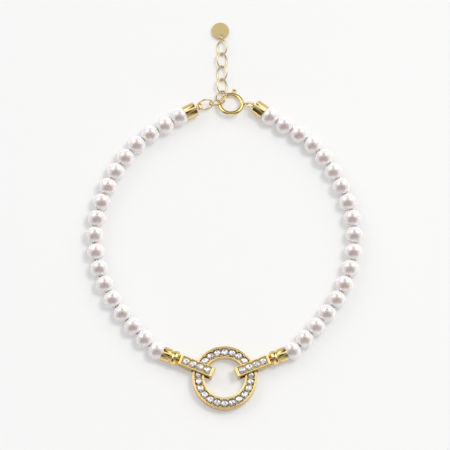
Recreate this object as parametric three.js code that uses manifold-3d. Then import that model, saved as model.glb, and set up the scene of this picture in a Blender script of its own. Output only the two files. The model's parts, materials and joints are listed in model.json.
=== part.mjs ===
// Pearl bracelet lying in a loop: two strings of round pearls, a ring of stones held by two
// stone-set bars at the front, and a spring-ring clasp with an extender chain at the back.
// Millimetres, +Z up. The bracelet lies on the plane Z = 0, its front towards -Y.

import * as THREE from 'three';
import { mergeVertices } from 'three/addons/utils/BufferGeometryUtils.js';
import Module from 'manifold-3d';

const wasm = await Module();
wasm.setup();

// Pearls and their thread
const pearl_diameter = 3.84;
const pearl_least_gap = 0.03;
const pearl_hole_diameter = 1.0;
const pearl_sides = 12;
const pearl_rows = 6;
const thread_diameter = 0.36;
const thread_end_gap = 0.3;

// Few chosen points of the right string, from the pearl at the clasp end to the last one but
// two at the front. Out is the share of the way from that first pearl's X to the widest X, and
// down is the share of the way to the front ring's centre. The left string is the mirror image.
const string_top_x = 10.17;
const string_top_y = 22.83;
const string_widest_x = 29.2;
const string_route = [
  { out: 0, down: 0 },
  { out: 0.512, down: 0.11 },
  { out: 0.848, down: 0.27 },
  { out: 1, down: 0.453 },
  { out: 0.878, down: 0.647 },
  { out: 0.535, down: 0.809 },
];

// Polished cups that close the strings
const cap_mouth_step = 0.54;
const cap_wall = 0.24;
const cap_floor = 0.5;
const cap_edge = 0.08;
const cap_sides = 16;
const pearl_seat_gap = 0.06;
const upper_cap_length = 2.7;
const upper_cap_angle_left = 31.6;
const upper_cap_angle_right = 37;
const lower_cap_length = 1.9;

// Eyes soldered to the upper caps and to the clasp
const chain_eye_diameter = 1.58;
const chain_eye_wire = 0.38;
const chain_eye_reach = 1.02;
const small_eye_diameter = 1.22;
const small_eye_wire = 0.32;
const small_eye_reach = 0.5;
const small_eye_sink = 0.08;
const peg_diameter = 0.6;
const eye_sides = 14;

// Front ring with its row of stones
const ring_centre_y = -37.72;
const ring_outer_diameter = 14.5;
const ring_inner_diameter = 9.1;
const ring_thickness = 1.6;
const ring_edge = 0.15;
const rim_width = 0.5;
const channel_depth = 0.25;
const stone_count = 22;
const ring_steps_a_stone = 2;

// Stones and the grains of metal that hold them
const stone_diameter = 1.5;
const stone_table_diameter = 0.84;
const stone_seat_diameter = 1.2;
const stone_crown_height = 0.24;
const girdle_height = 0.1;
const stone_foot_depth = 0.15;
const stone_sides = 8;
const grain_diameter = 0.3;
const grain_top_diameter = 0.18;
const grain_height = 0.32;
const grain_inset = 0.18;
const grain_sides = 6;

// Bars that loop round the front ring
const bar_angle = 22.4;
const bar_tip_radius = 2.67;
const bar_tip_wall = 0.63;
const bar_length = 8.15;
const bar_width = 2.45;
const bar_bottom_plate = 0.45;
const bar_top_plate = 0.7;
const ring_clearance = 0.3;
const bar_heel_rise = 1.2;
const bar_heel_run = 2.2;
const bar_edge = 0.3;
const bar_stone_count = 4;
const bar_stone_pitch = 1.72;
const bar_first_stone = 1.55;
const bar_rim_width = 0.3;

// Neck, bead and groove between each bar and its cap
const neck_length = 0.5;
const neck_diameter = 2.4;
const bead_width = 1.5;
const bead_diameter = 3.5;
const bead_rows = 4;
const groove_width = 0.3;
const groove_diameter = 2.7;

// Spring-ring clasp
const clasp_centre_x = 1.4;
const clasp_centre_y = 25.97;
const clasp_diameter = 6.0;
const clasp_tube = 1.0;
const clasp_tilt = 18;
const clasp_bore = 0.76;
const clasp_sides = 10;
const clasp_step_angle = 12;
const tube_start_angle = 186;
const tube_end_angle = 472;
const bolt_diameter = 0.48;
const bolt_sides = 8;
const bolt_nose_angle = 191;
const knob_angle = 78;
const bolt_tail_lap = 14;
const trigger_travel = 35;
const bore_end_lap = 6;
const slot_width = 0.5;
const slot_end_lap = 6;
const slot_curve_steps = 4;
const knob_stem_diameter = 0.3;
const knob_reach = 0.5;
const knob_length = 1.3;
const knob_flat_length = 0.65;
const knob_width = 0.6;
const knob_thickness = 0.38;
const knob_sides = 8;

// Chain links, all of one size, and the smaller ring and link
const link_length = 3.83;
const link_width = 2.8;
const link_wire = 0.38;
const link_steps = 14;
const link_wire_sides = 6;
const link_lean = 28;
const link_slack = 0.08;
const clasp_link_width = 1.4;
const clasp_link_wire = 0.4;

// Extender: the line that its links lie along and how many of them there are
const extender_x = -0.6;
const extender_count = 4;

// How the three links at the clasp lie: centre, turn about Z, dip of the long axis and roll
// about the long axis. The first hooks a little past the middle of the left cap's eye, and the
// second lies a step on from it, given in halves of a link.
const first_link_hook = 0.2;
const second_link_step = 1.52;
const clasp_chain = [
  { y: 25.75, z: 1.70, turn: 12, dip: 9, roll: 44 },
  { y: 26.30, z: 1.39, turn: 10, dip: 5, roll: 81 },
  { x: -0.84, y: 27.61, z: 1.55, turn: 93, dip: 32.5, roll: -27 },
];

// Disc tag and the ring that ties it to the chain
const tag_ring_diameter = 1.7;
const tag_ring_wire = 0.3;
const tag_ring_slack = 0.11;
const disc_diameter = 4.0;
const disc_thickness = 0.4;
const disc_edge = 0.08;
const disc_sides = 24;
const disc_hole_diameter = 0.7;
const disc_hole_margin = 0.3;
const disc_side_shift = -0.4;
const disc_lift = 0.5;

// Colours
const pearl_look = { color: 0xf2eeec, roughness: 0.2, metalness: 0.0 };
const gold_look = { color: 0xd9b65f, roughness: 0.18, metalness: 1.0 };
const satin_look = { color: 0xdcc78f, roughness: 0.45, metalness: 1.0 };
const thread_look = { color: 0xf4f4f2, roughness: 0.8, metalness: 0.0 };

// Sizes worked out from the values above
const pearl_radius = pearl_diameter / 2;
const string_height = pearl_radius;
const cap_mouth_radius = (pearl_diameter - cap_mouth_step) / 2 - cap_wall;
const cap_outer_radius = cap_mouth_radius + cap_wall;
const seat_radius = pearl_radius + pearl_seat_gap;
const seat_distance = Math.sqrt(seat_radius ** 2 - cap_mouth_radius ** 2);
const ring_bottom = bar_bottom_plate + ring_clearance;
const ring_top = ring_bottom + ring_thickness;
const bar_window_top = ring_top + ring_clearance;
const bar_top = bar_window_top + bar_top_plate;
const stone_circle_radius = (ring_outer_diameter + ring_inner_diameter) / 4;
const bar_end_radius = bar_tip_radius + bar_length;
const bead_start = bar_end_radius + neck_length;
const groove_start = bead_start + bead_width;
const cap_start = groove_start + groove_width;
const cap_mouth = cap_start + lower_cap_length;
const small_eye_radius = (small_eye_diameter - small_eye_wire) / 2;
const clasp_radius = (clasp_diameter - clasp_tube) / 2;
const clasp_eye_reach = clasp_diameter / 2 + small_eye_radius - small_eye_sink;
const clasp_height = clasp_tube / 2 + clasp_radius * Math.sin(radians(clasp_tilt));

const up = new THREE.Vector3(0, 0, 1);

function radians(degrees) {
  return degrees * Math.PI / 180;
}

// Geometry helpers

function closed_solid(geometry) {
  geometry.deleteAttribute('normal');
  geometry.deleteAttribute('uv');
  const merged = mergeVertices(geometry);
  const corners = merged.index.array;
  const triangles = [];
  for (let i = 0; i < corners.length; i += 3) {
    const [a, b, c] = [corners[i], corners[i + 1], corners[i + 2]];
    if (a !== b && b !== c && c !== a) triangles.push(a, b, c);
  }
  return new wasm.Manifold(new wasm.Mesh({
    numProp: 3,
    vertProperties: new Float32Array(merged.attributes.position.array),
    triVerts: new Uint32Array(triangles),
  }));
}

function geometry_of(solid) {
  const { vertProperties, triVerts } = solid.getMesh();
  const geometry = new THREE.BufferGeometry();
  geometry.setAttribute('position', new THREE.BufferAttribute(new Float32Array(vertProperties), 3));
  geometry.setIndex(new THREE.BufferAttribute(new Uint32Array(triVerts), 1));
  geometry.computeVertexNormals();
  return geometry;
}

function joined(solids) {
  return solids.reduce((whole, solid) => whole.add(solid));
}

function named_mesh(name, solid, look) {
  const mesh = new THREE.Mesh(geometry_of(solid), new THREE.MeshStandardMaterial(look));
  mesh.name = name;
  return mesh;
}

// A body turned about the Z axis from a list of [radius, height] points
function turned(points, sides) {
  const profile = points.map(([radius, height]) => new THREE.Vector2(radius, height));
  return new THREE.LatheGeometry(profile, sides).rotateX(Math.PI / 2);
}

// The turn that lays a body made along +Z along a level direction, its +X side up
function facing(direction) {
  const across = new THREE.Vector3().crossVectors(direction, up);
  return new THREE.Matrix4().makeBasis(up, across, direction);
}

function round_section(radius, sides) {
  const points = [];
  for (let i = 0; i < sides; i += 1) {
    const angle = 2 * Math.PI * i / sides;
    points.push(new THREE.Vector2(radius * Math.cos(angle), radius * Math.sin(angle)));
  }
  return new THREE.Shape(points);
}

class ArcPath extends THREE.Curve {
  constructor(radius, start_angle, end_angle) {
    super();
    this.radius = radius;
    this.start_angle = radians(start_angle);
    this.end_angle = radians(end_angle);
  }

  getPoint(share, target = new THREE.Vector3()) {
    const angle = this.start_angle + (this.end_angle - this.start_angle) * share;
    return target.set(this.radius * Math.cos(angle), this.radius * Math.sin(angle), 0);
  }
}

// A closed round tube along an arc about the Z axis
function arc_tube(radius, diameter, start_angle, end_angle, sides) {
  return new THREE.ExtrudeGeometry(round_section(diameter / 2, sides), {
    steps: Math.ceil((end_angle - start_angle) / clasp_step_angle),
    extrudePath: new ArcPath(radius, start_angle, end_angle),
    bevelEnabled: false,
  });
}

// An oval wire link in the XY plane, its long axis along X
function oval_link(length, width, wire) {
  const half_length = (length - wire) / 2;
  const half_width = (width - wire) / 2;
  const geometry = new THREE.TorusGeometry(half_length, wire / 2, link_wire_sides, link_steps);
  const points = geometry.attributes.position;
  for (let i = 0; i < points.count; i += 1) {
    const angle = Math.atan2(points.getY(i), points.getX(i));
    const offset = Math.hypot(points.getX(i), points.getY(i)) - half_length;
    const normal = new THREE.Vector2(half_width * Math.cos(angle), half_length * Math.sin(angle));
    normal.normalize();
    const x = half_length * Math.cos(angle) + offset * normal.x;
    const y = half_width * Math.sin(angle) + offset * normal.y;
    points.setXY(i, x, y);
  }
  return geometry;
}

// Cut stones and the grains between them

function stone_at(x, y, floor) {
  const girdle = floor + girdle_height;
  const table = girdle + stone_crown_height;
  const profile = [
    [0, floor - stone_foot_depth],
    [stone_seat_diameter / 2, floor - stone_foot_depth],
    [stone_diameter / 2, girdle],
    [stone_table_diameter / 2, table],
    [0, table],
  ];
  const angle = Math.atan2(y, x) + Math.PI / stone_sides;
  return closed_solid(turned(profile, stone_sides).rotateZ(angle).translate(x, y, 0));
}

function grain_at(x, y, floor) {
  const profile = [
    [0, floor - stone_foot_depth],
    [grain_diameter / 2, floor - stone_foot_depth],
    [grain_top_diameter / 2, floor + grain_height],
    [0, floor + grain_height],
  ];
  return closed_solid(turned(profile, grain_sides).translate(x, y, 0));
}

// Front ring: a band with a sunk channel full of stones

function ring_band() {
  const outer = ring_outer_diameter / 2;
  const inner = ring_inner_diameter / 2;
  const channel_floor = ring_top - channel_depth;
  return closed_solid(turned([
    [inner, ring_bottom],
    [outer, ring_bottom],
    [outer, ring_top - ring_edge],
    [outer - ring_edge, ring_top],
    [outer - rim_width, ring_top],
    [outer - rim_width, channel_floor],
    [inner + rim_width, channel_floor],
    [inner + rim_width, ring_top],
    [inner + ring_edge, ring_top],
    [inner, ring_top - ring_edge],
    [inner, ring_bottom],
  ], stone_count * ring_steps_a_stone));
}

function ring_with_stones() {
  const pieces = [ring_band()];
  const floor = ring_top - channel_depth;
  const outer_grains = ring_outer_diameter / 2 - rim_width - grain_inset;
  const inner_grains = ring_inner_diameter / 2 + rim_width + grain_inset;
  for (let i = 0; i < stone_count; i += 1) {
    const angle = Math.PI / 2 + 2 * Math.PI * i / stone_count;
    const between = angle + Math.PI / stone_count;
    const reach = stone_circle_radius;
    pieces.push(stone_at(reach * Math.cos(angle), reach * Math.sin(angle), floor));
    for (const radius of [outer_grains, inner_grains]) {
      pieces.push(grain_at(radius * Math.cos(between), radius * Math.sin(between), floor));
    }
  }
  return joined(pieces);
}

// Bar, neck, bead, groove and cap: one soldered piece, made along +X from the ring's centre

function bar_loop() {
  const tip = bar_tip_radius;
  const heel = bar_end_radius;
  const side = new THREE.Shape();
  side.moveTo(tip, bar_edge);
  side.lineTo(tip + bar_edge, 0);
  side.lineTo(heel - bar_heel_run, 0);
  side.lineTo(heel, bar_heel_rise);
  side.lineTo(heel, bar_top - bar_edge);
  side.lineTo(heel - bar_edge, bar_top);
  side.lineTo(tip + bar_edge, bar_top);
  side.lineTo(tip, bar_top - bar_edge);
  const window_end = ring_outer_diameter / 2 + ring_clearance;
  const window_start = tip + bar_tip_wall;
  const window_hole = new THREE.Path();
  window_hole.moveTo(window_start, bar_bottom_plate);
  window_hole.lineTo(window_start, bar_window_top);
  window_hole.lineTo(window_end, bar_window_top);
  window_hole.lineTo(window_end, bar_bottom_plate);
  side.holes.push(window_hole);
  const slab = new THREE.ExtrudeGeometry(side, { depth: bar_width, bevelEnabled: false });
  return closed_solid(slab.rotateX(Math.PI / 2).translate(0, bar_width / 2, 0));
}

function bar_channel() {
  const channel_length = bar_stone_count * bar_stone_pitch;
  const channel_width = bar_width - 2 * bar_rim_width;
  const channel_start = bar_tip_radius + bar_first_stone - bar_stone_pitch / 2;
  const cutter = new THREE.BoxGeometry(channel_length, channel_width, 2 * channel_depth);
  return closed_solid(cutter.translate(channel_start + channel_length / 2, 0, bar_top));
}

function bar_stones() {
  const pieces = [];
  const floor = bar_top - channel_depth;
  const grain_side = bar_width / 2 - bar_rim_width - grain_inset;
  for (let i = 0; i < bar_stone_count; i += 1) {
    const x = bar_tip_radius + bar_first_stone + i * bar_stone_pitch;
    pieces.push(stone_at(x, 0, floor));
    if (i + 1 < bar_stone_count) {
      pieces.push(grain_at(x + bar_stone_pitch / 2, grain_side, floor));
      pieces.push(grain_at(x + bar_stone_pitch / 2, -grain_side, floor));
    }
  }
  return pieces;
}

function bead_profile() {
  const points = [];
  const rise = (bead_diameter - groove_diameter) / 2;
  for (let i = 0; i <= bead_rows; i += 1) {
    const angle = Math.PI * i / bead_rows;
    const along = bead_start + bead_width * (1 - Math.cos(angle)) / 2;
    points.push([groove_diameter / 2 + rise * Math.sin(angle), along]);
  }
  return points;
}

function lower_cap() {
  const profile = [
    [0, bar_end_radius - bar_edge],
    [neck_diameter / 2, bar_end_radius - bar_edge],
    [neck_diameter / 2, bead_start],
    ...bead_profile(),
    [groove_diameter / 2, cap_start],
    [cap_outer_radius - cap_edge, cap_start],
    [cap_outer_radius, cap_start + cap_edge],
    [cap_outer_radius, cap_mouth - cap_edge],
    [cap_outer_radius - cap_edge, cap_mouth],
    [cap_mouth_radius, cap_mouth],
    [cap_mouth_radius, cap_start + cap_floor],
    [0, cap_start + cap_floor],
  ];
  const outward = facing(new THREE.Vector3(1, 0, 0));
  const body = turned(profile, cap_sides).applyMatrix4(outward);
  return closed_solid(body.translate(0, 0, string_height));
}

function bar_with_cap() {
  const bar = bar_loop().subtract(bar_channel());
  return joined([bar, ...bar_stones(), lower_cap()]);
}

// The direction from the front ring out along the bar of one side: +1 right, -1 left
function bar_direction(side) {
  const angle = radians(bar_angle);
  return new THREE.Vector3(side * Math.cos(angle), Math.sin(angle), 0);
}

function placed_bar(name, side) {
  const mesh = named_mesh(name, bar_with_cap(), gold_look);
  mesh.position.set(0, ring_centre_y, 0);
  mesh.rotation.z = side > 0 ? radians(bar_angle) : Math.PI - radians(bar_angle);
  return mesh;
}

// Strings of pearls

// The direction from the first pearl of one side up to the clasp end's cap
function upper_direction(side) {
  const angle = radians(side > 0 ? upper_cap_angle_right : upper_cap_angle_left);
  return new THREE.Vector3(-side * Math.cos(angle), Math.sin(angle), 0);
}

function pearl_centres(side) {
  const last = bar_direction(side).multiplyScalar(cap_mouth + seat_distance);
  last.y += ring_centre_y;
  const points = string_route.map(({ out, down }) => {
    const x = string_top_x + (string_widest_x - string_top_x) * out;
    const y = string_top_y + (ring_centre_y - string_top_y) * down;
    return new THREE.Vector3(side * x, y, 0);
  });
  const route = new THREE.CatmullRomCurve3([...points, last], false, 'centripetal');
  const gaps = Math.floor(route.getLength() / (pearl_diameter + pearl_least_gap));
  return Array.from({ length: gaps + 1 }, (_, i) => route.getPointAt(i / gaps));
}

// Where the thread ends, short of the floor of the cap that the end pearl sits in
function thread_end(pearl, direction, cap_length) {
  const reach = seat_distance + cap_length - cap_floor - thread_end_gap;
  return pearl.clone().addScaledVector(direction, reach);
}

function thread_path(side) {
  const centres = pearl_centres(side);
  const down = bar_direction(side).negate();
  const top = thread_end(centres[0], upper_direction(side), upper_cap_length);
  const bottom = thread_end(centres[centres.length - 1], down, lower_cap_length);
  return [top, ...centres, bottom];
}

function pearl_solid() {
  const hole = pearl_hole_diameter / 2;
  const start = Math.asin(hole / pearl_radius);
  const points = [];
  for (let i = 0; i <= pearl_rows; i += 1) {
    const angle = start + (Math.PI - 2 * start) * i / pearl_rows;
    points.push([pearl_radius * Math.sin(angle), -pearl_radius * Math.cos(angle)]);
  }
  points.push(points[0]);
  return closed_solid(turned(points, pearl_sides));
}

function add_string(group, side, side_name) {
  const path = thread_path(side);
  const pearl = pearl_solid();
  for (let i = 1; i + 1 < path.length; i += 1) {
    const before = path[i].clone().sub(path[i - 1]).normalize();
    const after = path[i + 1].clone().sub(path[i]).normalize();
    const along = before.add(after).normalize();
    const number = String(i).padStart(2, '0');
    const mesh = named_mesh(`pearl_${side_name}_${number}`, pearl, pearl_look);
    mesh.quaternion.setFromRotationMatrix(facing(along));
    mesh.position.set(path[i].x, path[i].y, string_height);
    group.add(mesh);
  }
  const thread = new THREE.ExtrudeGeometry(round_section(thread_diameter / 2, link_wire_sides), {
    steps: path.length - 1,
    extrudePath: new THREE.CatmullRomCurve3(path, false, 'centripetal'),
    bevelEnabled: false,
  });
  const thread_mesh = named_mesh(`thread_${side_name}`, closed_solid(thread), thread_look);
  thread_mesh.position.z = string_height;
  group.add(thread_mesh);
}

// Upper caps, each a cup with a short peg and a soldered eye

// Made along +Z: the mouth at height 0 facing down, the eye above the closed end
function upper_cap(eye_diameter, eye_wire, eye_reach, eye_lies_flat) {
  const closed_end = upper_cap_length;
  const cup = turned([
    [0, closed_end - cap_floor],
    [cap_mouth_radius, closed_end - cap_floor],
    [cap_mouth_radius, 0],
    [cap_outer_radius - cap_edge, 0],
    [cap_outer_radius, cap_edge],
    [cap_outer_radius, closed_end - cap_edge],
    [cap_outer_radius - cap_edge, closed_end],
    [peg_diameter / 2, closed_end],
    [peg_diameter / 2, closed_end + eye_reach - (eye_diameter - eye_wire) / 2],
    [0, closed_end + eye_reach - (eye_diameter - eye_wire) / 2],
  ], cap_sides);
  const eye_radius = (eye_diameter - eye_wire) / 2;
  const eye = new THREE.TorusGeometry(eye_radius, eye_wire / 2, link_wire_sides, eye_sides);
  eye.rotateY(Math.PI / 2);
  if (!eye_lies_flat) eye.rotateZ(Math.PI / 2);
  eye.translate(0, 0, closed_end + eye_reach);
  return joined([closed_solid(cup), closed_solid(eye)]);
}

function placed_upper_cap(name, side, cap) {
  const mesh = named_mesh(name, cap, gold_look);
  const along = upper_direction(side);
  const mouth = pearl_centres(side)[0].addScaledVector(along, seat_distance);
  mesh.quaternion.setFromRotationMatrix(facing(along));
  mesh.position.set(mouth.x, mouth.y, string_height);
  return mesh;
}

function cap_eye_centre(side, eye_reach) {
  const distance = seat_distance + upper_cap_length + eye_reach;
  const centre = pearl_centres(side)[0].addScaledVector(upper_direction(side), distance);
  centre.z = string_height;
  return centre;
}

// Spring-ring clasp, made about the Z axis and tilted as it lies

// The hollow in which the bolt runs, a little longer than the bolt's way at each end
function clasp_hollow(start_angle, end_angle) {
  const start = start_angle - bore_end_lap;
  const end = end_angle + bore_end_lap;
  return closed_solid(arc_tube(clasp_radius, clasp_bore, start, end, bolt_sides));
}

// The slot in the outer side of the tube for the stem of the knob
function knob_slot() {
  const start = radians(knob_angle - trigger_travel - slot_end_lap);
  const end = radians(knob_angle + slot_end_lap);
  const shape = new THREE.Shape();
  shape.absarc(0, 0, clasp_diameter / 2 + clasp_tube, start, end, false);
  shape.absarc(0, 0, clasp_radius, end, start, true);
  const sector = new THREE.ExtrudeGeometry(shape, {
    depth: slot_width,
    bevelEnabled: false,
    curveSegments: slot_curve_steps,
  });
  return closed_solid(sector.translate(0, 0, -slot_width / 2));
}

function clasp_body() {
  const tube = arc_tube(clasp_radius, clasp_tube, tube_start_angle, tube_end_angle, clasp_sides);
  const bore = clasp_hollow(knob_angle - trigger_travel - bolt_tail_lap, tube_end_angle - 360);
  const socket = clasp_hollow(tube_start_angle, bolt_nose_angle);
  const eye = new THREE.TorusGeometry(small_eye_radius, small_eye_wire / 2, link_wire_sides, eye_sides);
  eye.rotateX(Math.PI / 2).translate(clasp_eye_reach, 0, 0);
  const body = closed_solid(tube).add(closed_solid(eye));
  return body.subtract(bore).subtract(socket).subtract(knob_slot());
}

function clasp_trigger() {
  const tail_angle = knob_angle - bolt_tail_lap;
  const bolt = arc_tube(clasp_radius, bolt_diameter, tail_angle, bolt_nose_angle, bolt_sides);
  const knob_distance = clasp_diameter / 2 + knob_reach;
  const stem = turned([
    [0, clasp_radius],
    [knob_stem_diameter / 2, clasp_radius],
    [knob_stem_diameter / 2, knob_distance],
    [0, knob_distance],
  ], knob_sides);
  stem.rotateY(Math.PI / 2).rotateZ(radians(knob_angle));
  const thumb = turned([
    [0, -knob_length / 2],
    [knob_stem_diameter / 2, -knob_length / 2],
    [knob_width / 2, -knob_flat_length / 2],
    [knob_width / 2, knob_flat_length / 2],
    [knob_stem_diameter / 2, knob_length / 2],
    [0, knob_length / 2],
  ], knob_sides);
  thumb.rotateX(Math.PI / 2).scale(1, 1, knob_thickness / knob_width);
  thumb.translate(knob_distance, 0, 0).rotateZ(radians(knob_angle));
  return joined([closed_solid(bolt), closed_solid(stem), closed_solid(thumb)]);
}

function add_clasp(group) {
  const clasp = new THREE.Group();
  clasp.position.set(clasp_centre_x, clasp_centre_y, clasp_height);
  clasp.rotation.x = radians(-clasp_tilt);
  clasp.add(named_mesh('clasp_body', clasp_body(), gold_look));
  clasp.add(named_mesh('clasp_trigger', clasp_trigger(), gold_look));
  group.add(clasp);
}

// The small link between the clasp's eye and the right cap's eye, its wire through the middle
// of both
function clasp_link() {
  const clasp_eye = new THREE.Vector3(clasp_centre_x, clasp_centre_y, clasp_height);
  clasp_eye.x += clasp_eye_reach;
  const cap_eye = cap_eye_centre(1, small_eye_reach);
  const length = clasp_eye.distanceTo(cap_eye) + clasp_link_wire;
  const wire = oval_link(length, clasp_link_width, clasp_link_wire);
  const mesh = named_mesh('clasp_link', closed_solid(wire), gold_look);
  const along = cap_eye.clone().sub(clasp_eye).normalize();
  const across = new THREE.Vector3().crossVectors(up, along).normalize();
  const normal = new THREE.Vector3().crossVectors(along, across);
  mesh.quaternion.setFromRotationMatrix(new THREE.Matrix4().makeBasis(along, across, normal));
  mesh.position.copy(clasp_eye.add(cap_eye).multiplyScalar(0.5));
  return mesh;
}

// Chain and disc tag

function chain_link(number, place) {
  const wire = oval_link(link_length, link_width, link_wire);
  const mesh = named_mesh(`chain_link_${number}`, closed_solid(wire), gold_look);
  mesh.rotation.set(radians(place.roll), radians(place.dip), radians(place.turn), 'ZYX');
  mesh.position.set(place.x, place.y, place.z);
  return mesh;
}

const link_reach = (link_length - link_wire) / 2;
const link_pitch = link_length - 2 * link_wire - link_slack;
const extender_height = (link_width - link_wire) / 2 * Math.sin(radians(link_lean)) + link_wire / 2;

// The first link of the extender hooks into the far end of the last link at the clasp
function extender_start() {
  const hook = clasp_chain[clasp_chain.length - 1];
  const hook_end_y = hook.y + link_reach * Math.sin(radians(hook.turn)) * Math.cos(radians(hook.dip));
  return hook_end_y + link_reach - link_wire - link_slack;
}

const extender_start_y = extender_start();
const extender_end_y = extender_start_y + (extender_count - 1) * link_pitch + link_reach;

function clasp_chain_places() {
  const [first, second, third] = clasp_chain;
  const eye = cap_eye_centre(-1, chain_eye_reach);
  const level_reach = link_reach * Math.cos(radians(first.turn)) * Math.cos(radians(first.dip));
  const first_x = eye.x - first_link_hook + level_reach;
  const second_x = first_x + second_link_step * link_reach;
  return [{ ...first, x: first_x }, { ...second, x: second_x }, third];
}

function add_chain(group) {
  clasp_chain_places().forEach((place, i) => group.add(chain_link(i + 1, place)));
  for (let i = 0; i < extender_count; i += 1) {
    group.add(chain_link(clasp_chain.length + i + 1, {
      x: extender_x,
      y: extender_start_y + i * link_pitch,
      z: extender_height,
      turn: 90,
      dip: 0,
      roll: i % 2 === 0 ? link_lean : -link_lean,
    }));
  }
}

// The ring through the last link and the disc's hole stands upright on the surface
const tag_ring_hole = tag_ring_diameter / 2 - tag_ring_wire;
const tag_ring_y = extender_end_y + tag_ring_hole - link_wire / 2 - tag_ring_slack;

function tag_ring() {
  const radius = (tag_ring_diameter - tag_ring_wire) / 2;
  const geometry = new THREE.TorusGeometry(radius, tag_ring_wire / 2, link_wire_sides, eye_sides);
  const mesh = named_mesh('tag_ring', closed_solid(geometry.rotateY(Math.PI / 2)), gold_look);
  mesh.position.set(extender_x, tag_ring_y, tag_ring_diameter / 2);
  return mesh;
}

// The disc is made with its hole at the origin's side and leans on the tag ring
function disc_tag() {
  const radius = disc_diameter / 2;
  const plate = turned([
    [0, 0],
    [radius - disc_edge, 0],
    [radius, disc_edge],
    [radius, disc_thickness - disc_edge],
    [radius - disc_edge, disc_thickness],
    [0, disc_thickness],
  ], disc_sides);
  const hole = turned([
    [0, -disc_thickness],
    [disc_hole_diameter / 2, -disc_thickness],
    [disc_hole_diameter / 2, 2 * disc_thickness],
    [0, 2 * disc_thickness],
  ], link_steps);
  const hole_centre = disc_hole_margin + disc_hole_diameter / 2;
  const sideways = Math.asin(disc_side_shift / (radius - hole_centre));
  plate.translate(0, radius - hole_centre, 0).rotateZ(-sideways);
  const solid = closed_solid(plate).subtract(closed_solid(hole));
  const mesh = named_mesh('disc_tag', solid, satin_look);
  const lean = Math.asin(disc_lift / (disc_diameter - disc_edge));
  mesh.rotation.x = -lean;
  const hole_y = tag_ring_y + (tag_ring_diameter - tag_ring_wire) / 2;
  const hole_height = (disc_diameter - disc_edge - hole_centre) * Math.sin(lean);
  mesh.position.set(extender_x, hole_y, hole_height);
  return mesh;
}

// The whole bracelet

function build_bracelet() {
  const group = new THREE.Group();
  add_string(group, -1, 'left');
  add_string(group, 1, 'right');
  const ring = named_mesh('pave_ring', ring_with_stones(), gold_look);
  ring.position.set(0, ring_centre_y, 0);
  group.add(ring);
  group.add(placed_bar('bar_left', -1));
  group.add(placed_bar('bar_right', 1));
  const left_cap = upper_cap(chain_eye_diameter, chain_eye_wire, chain_eye_reach, true);
  const right_cap = upper_cap(small_eye_diameter, small_eye_wire, small_eye_reach, false);
  group.add(placed_upper_cap('upper_cap_left', -1, left_cap));
  group.add(placed_upper_cap('upper_cap_right', 1, right_cap));
  add_clasp(group);
  group.add(clasp_link());
  add_chain(group);
  group.add(tag_ring());
  group.add(disc_tag());
  return group;
}

// Stands the bracelet with the middle of its footprint on the origin
function centred(bracelet) {
  bracelet.updateMatrixWorld(true);
  const box = new THREE.Box3().setFromObject(bracelet, true);
  const middle = box.getCenter(new THREE.Vector3());
  bracelet.position.set(-middle.x, -middle.y, -box.min.z);
  const frame = new THREE.Group();
  frame.add(bracelet);
  return frame;
}

export default centred(build_bracelet());
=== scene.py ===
import json
import math

import bmesh
import bpy
import numpy as np
from mathutils import Matrix, Vector


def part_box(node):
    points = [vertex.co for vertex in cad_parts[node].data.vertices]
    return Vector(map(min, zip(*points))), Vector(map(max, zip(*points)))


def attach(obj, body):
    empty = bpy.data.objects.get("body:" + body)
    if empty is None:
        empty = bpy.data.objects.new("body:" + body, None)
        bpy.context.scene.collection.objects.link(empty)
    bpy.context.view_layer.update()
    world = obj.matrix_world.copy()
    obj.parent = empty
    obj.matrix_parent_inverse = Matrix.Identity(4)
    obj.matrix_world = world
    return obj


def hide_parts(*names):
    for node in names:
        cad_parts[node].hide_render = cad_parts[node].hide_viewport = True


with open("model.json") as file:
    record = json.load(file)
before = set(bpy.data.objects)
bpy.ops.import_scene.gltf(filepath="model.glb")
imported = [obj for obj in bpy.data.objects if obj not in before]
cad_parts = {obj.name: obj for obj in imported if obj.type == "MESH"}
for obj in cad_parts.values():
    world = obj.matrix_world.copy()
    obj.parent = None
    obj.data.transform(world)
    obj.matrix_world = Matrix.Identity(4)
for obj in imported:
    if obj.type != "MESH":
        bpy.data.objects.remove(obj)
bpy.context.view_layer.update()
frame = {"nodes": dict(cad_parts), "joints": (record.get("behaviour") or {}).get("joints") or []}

UP = Vector((0, 0, 1))

# Strings of pearls: round white pearls of the 4 mm class, drilled through, with a thin layered
# skin that gives a soft gloss and a faint pink tone. Their darker, rosier middles are a painted
# reflection. Each sits square to the line through its neighbours, as a thread pulled snug holds
# it, and touches them at the rims of the drill holes.

PEARL_RADIUS = 0.002
PEARL_HOLE_RADIUS = 0.00047
PEARL_LIFT = 0.00008
PEARL_ROUND_STEPS = 48
PEARL_ARC_STEPS = 30
PEARLS_A_SIDE = 18


def middle(node):
    low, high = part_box(node)
    return (Vector(low) + Vector(high)) / 2


def turned_mesh(profile, steps):
    """A closed outline of (radius, height) points turned about Z, as vertices and faces."""
    vertices = []
    faces = []
    rows = len(profile)
    for radius, height in profile:
        for i in range(steps):
            angle = 2 * math.pi * i / steps
            vertices.append((radius * math.cos(angle), radius * math.sin(angle), height))
    for row in range(rows):
        after = (row + 1) % rows
        for i in range(steps):
            j = (i + 1) % steps
            faces.append((row * steps + i, row * steps + j, after * steps + j, after * steps + i))
    return vertices, faces


def moved(mesh, matrix):
    vertices, faces = mesh
    return [tuple(matrix @ Vector(v)) for v in vertices], faces


def merged(meshes):
    vertices = []
    faces = []
    for more_vertices, more_faces in meshes:
        start = len(vertices)
        vertices.extend(more_vertices)
        faces.extend(tuple(start + i for i in face) for face in more_faces)
    return vertices, faces


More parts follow.
